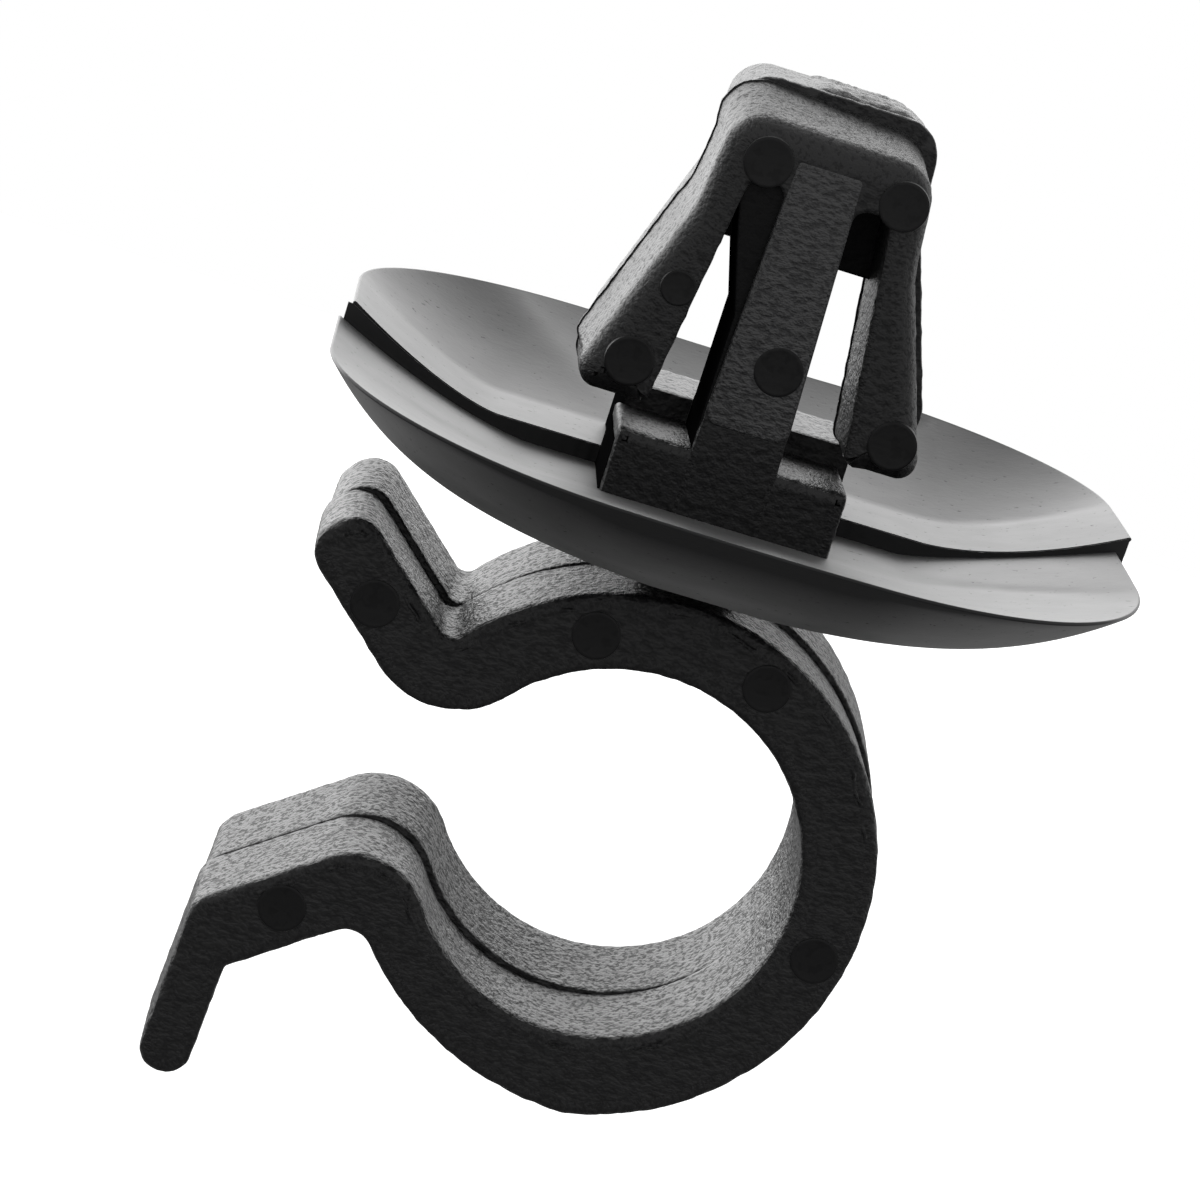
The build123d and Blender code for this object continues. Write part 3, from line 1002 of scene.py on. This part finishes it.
def nylon(name, base, roughness, grain, gloss, gloss_start=0.25, pit_share=0.45, ior=1.5):
    """Black nylon with grain.

    Its grazing gloss grows from the facing value gloss_start on. pit_share sets how much the pits take up.
    """
    tint, pit_edge, gloss_end = 1.05, 0.06, 0.8
    noise_detail, noise_roughness, patch_size, patch_contrast = 2, 0.6, 6, 1.5
    patch_edge_low, patch_edge_high = 0.35, 0.65
    material = bpy.data.materials.new(name)
    material.use_nodes = True
    tree = material.node_tree
    place = add_node(tree, "Attribute", attribute_name="grain").outputs["Vector"]
    scaled = add_node(tree, "Mapping", {"Vector": place, "Scale": (1 / grain.stretch, 1, 1)}).outputs[0]

    def add_noise(size):
        inputs = {"Vector": scaled, "Scale": 1 / size, "Detail": noise_detail, "Roughness": noise_roughness}
        return add_node(tree, "TexNoise", inputs).outputs["Fac"]

    def add_range(value, start, end, low, high):
        inputs = {"Value": value, "From Min": start, "From Max": end, "To Min": low, "To Max": high}
        return add_node(tree, "MapRange", inputs).outputs[0]

    def combine(operation, a, b, clamped=False):
        return add_node(tree, "Math", {0: a, 1: b}, operation=operation, use_clamp=clamped).outputs[0]

    grain_height = add_noise(grain.width)
    patch_height = add_noise(grain.width * patch_size)
    angle = add_node(tree, "LayerWeight", {"Blend": 0.5}).outputs["Facing"]
    grazing = add_range(angle, gloss_start, gloss_end, 0, 1)
    pit_start = pit_share - pit_edge
    pits = add_range(grain_height, pit_start, pit_share, gloss.pit, gloss.grazing - gloss.facing)
    patch_gloss = 1 - patch_contrast * grain.contrast
    patches = add_range(patch_height, patch_edge_low, patch_edge_high, patch_gloss, 1.0)
    from_side = combine("MULTIPLY", grazing, combine("MULTIPLY", pits, patches))
    pit_facing = gloss.facing * (1 - grain.contrast)
    from_front = add_range(grain_height, pit_start, pit_share, pit_facing, gloss.facing)
    bump = add_node(tree, "Bump", {"Height": grain_height, "Distance": grain.relief * MM, "Strength": 1.0})
    set_inputs(tree.nodes["Principled BSDF"], {
        "Base Color": (base, base, base * tint, 1),
        "Roughness": roughness,
        "IOR": ior,
        "Normal": bump.outputs[0],
        "Specular IOR Level": combine("ADD", from_side, from_front, clamped=True),
    })
    return material


# Set


def make_floor():
    """A floor that is white to the camera and grey to other rays, which keeps the clip's underside dark."""
    bpy.ops.mesh.primitive_plane_add(size=FLOOR_SIZE, location=(0, 0, FLOOR_HEIGHT))
    floor = bpy.context.object
    floor.name = "floor"
    material = bpy.data.materials.new("floor_white")
    material.use_nodes = True
    tree = material.node_tree
    seen = add_node(tree, "LightPath").outputs["Is Camera Ray"]
    tones = {"Value": seen, "To Min": FLOOR_TONE_TO_OTHER_RAYS, "To Max": FLOOR_TONE_TO_CAMERA}
    tone = add_node(tree, "MapRange", tones).outputs[0]
    set_inputs(tree.nodes["Principled BSDF"], {"Base Color": tone, "Roughness": FLOOR_ROUGHNESS})
    floor.data.materials.append(material)


def make_world():
    """A white studio: its level as a light, and its level as a background and in reflections."""
    world = bpy.data.worlds.new("white_studio")
    bpy.context.scene.world = world
    world.use_nodes = True
    tree = world.node_tree
    tree.nodes.clear()

    def maximum(a, b):
        return add_node(tree, "Math", {0: a, 1: b}, operation="MAXIMUM").outputs[0]

    def white(level):
        return add_node(tree, "Background", {"Color": (1, 1, 1, 1), "Strength": level}).outputs[0]

    path = add_node(tree, "LightPath").outputs
    seen = maximum(path["Is Camera Ray"], maximum(path["Is Glossy Ray"], path["Is Transmission Ray"]))
    mix = add_node(tree, "MixShader", {0: seen, 1: white(STUDIO_LEVEL), 2: white(BACKGROUND_LEVEL)})
    add_node(tree, "OutputWorld", {"Surface": mix.outputs[0]})


def make_softbox():
    light = bpy.data.lights.new("back_softbox", "AREA")
    light.shape = "RECTANGLE"
    light.size, light.size_y = SOFTBOX_SIZE
    light.energy = SOFTBOX_POWER
    lamp = bpy.data.objects.new("back_softbox", light)
    bpy.context.scene.collection.objects.link(lamp)
    lamp.location = SOFTBOX_PLACE
    lamp.rotation_euler = (SOFTBOX_TARGET - SOFTBOX_PLACE).to_track_quat("-Z", "Y").to_euler()


def make_camera():
    data = bpy.data.cameras.new("photo_camera")
    data.lens = LENS_MM
    data.sensor_width = SENSOR_MM
    data.clip_start = CAMERA_CLIP_START
    camera = bpy.data.objects.new("photo_camera", data)
    bpy.context.scene.collection.objects.link(camera)
    axes = Matrix((CAMERA_RIGHT, CAMERA_BACK.cross(CAMERA_RIGHT), CAMERA_BACK)).transposed()
    camera.matrix_world = Matrix.Translation(CAMERA_PLACE * MM) @ axes.to_4x4()
    bpy.context.scene.camera = camera


ring_nylon = nylon(
    "black_nylon_ring", base=0.007, roughness=0.45, pit_share=0.5,
    grain=Grain(width=0.13, stretch=0.8, relief=0.05, contrast=0.3),
    gloss=Gloss(facing=0.26, grazing=0.9, pit=-0.1),
)
anchor_nylon = nylon(
    "black_nylon_anchor", base=0.007, roughness=0.48, gloss_start=0.28,
    grain=Grain(width=0.17, stretch=0.6, relief=0.04, contrast=0.35),
    gloss=Gloss(facing=0.26, grazing=1.0, pit=0.05),
)
stem_nylon = nylon(
    "black_nylon_stem_face", base=0.014, roughness=0.5, pit_share=0.48,
    grain=Grain(width=0.12, stretch=0.8, relief=0.05, contrast=0.4),
    gloss=Gloss(facing=0.55, grazing=1.0, pit=0.2),
)
# A matte black that hardly reflects: painted shade on the webs, the rib and the side plates
painted_shade_nylon = nylon(
    "black_nylon_painted_shade", base=0.004, roughness=0.5,
    grain=Grain(width=0.17, stretch=0.6, relief=0.02, contrast=0.2),
    gloss=Gloss(facing=0.08, grazing=-0.2, pit=-0.2),
)
mark_nylon = nylon(
    "black_nylon_ejector_mark", base=0.005, roughness=0.42,
    grain=Grain(width=0.3, stretch=1.0, relief=0.01, contrast=0.2),
    gloss=Gloss(facing=0.15, grazing=0.8, pit=0.5),
)
skirt_nylon = nylon(
    "black_nylon_skirt", base=0.007, roughness=0.52, gloss_start=0.56, pit_share=0.33, ior=2.05,
    grain=Grain(width=0.13, stretch=1.3, relief=0.004, contrast=0.1),
    gloss=Gloss(facing=0.075, grazing=1.0, pit=0.1),
)
pieces = [
    build_ring(ring_nylon),
    build_skirt(skirt_nylon),
    build_anchor(anchor_nylon),
    build_painted_shade_sheets(painted_shade_nylon),
    build_stem_face(stem_nylon),
    build_ejector_marks(mark_nylon),
]
for piece in pieces:
    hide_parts("bonnet_clip")
    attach(piece, "root")

make_floor()
make_world()
make_softbox()
make_camera()
bpy.context.scene.view_settings.view_transform = "Standard"
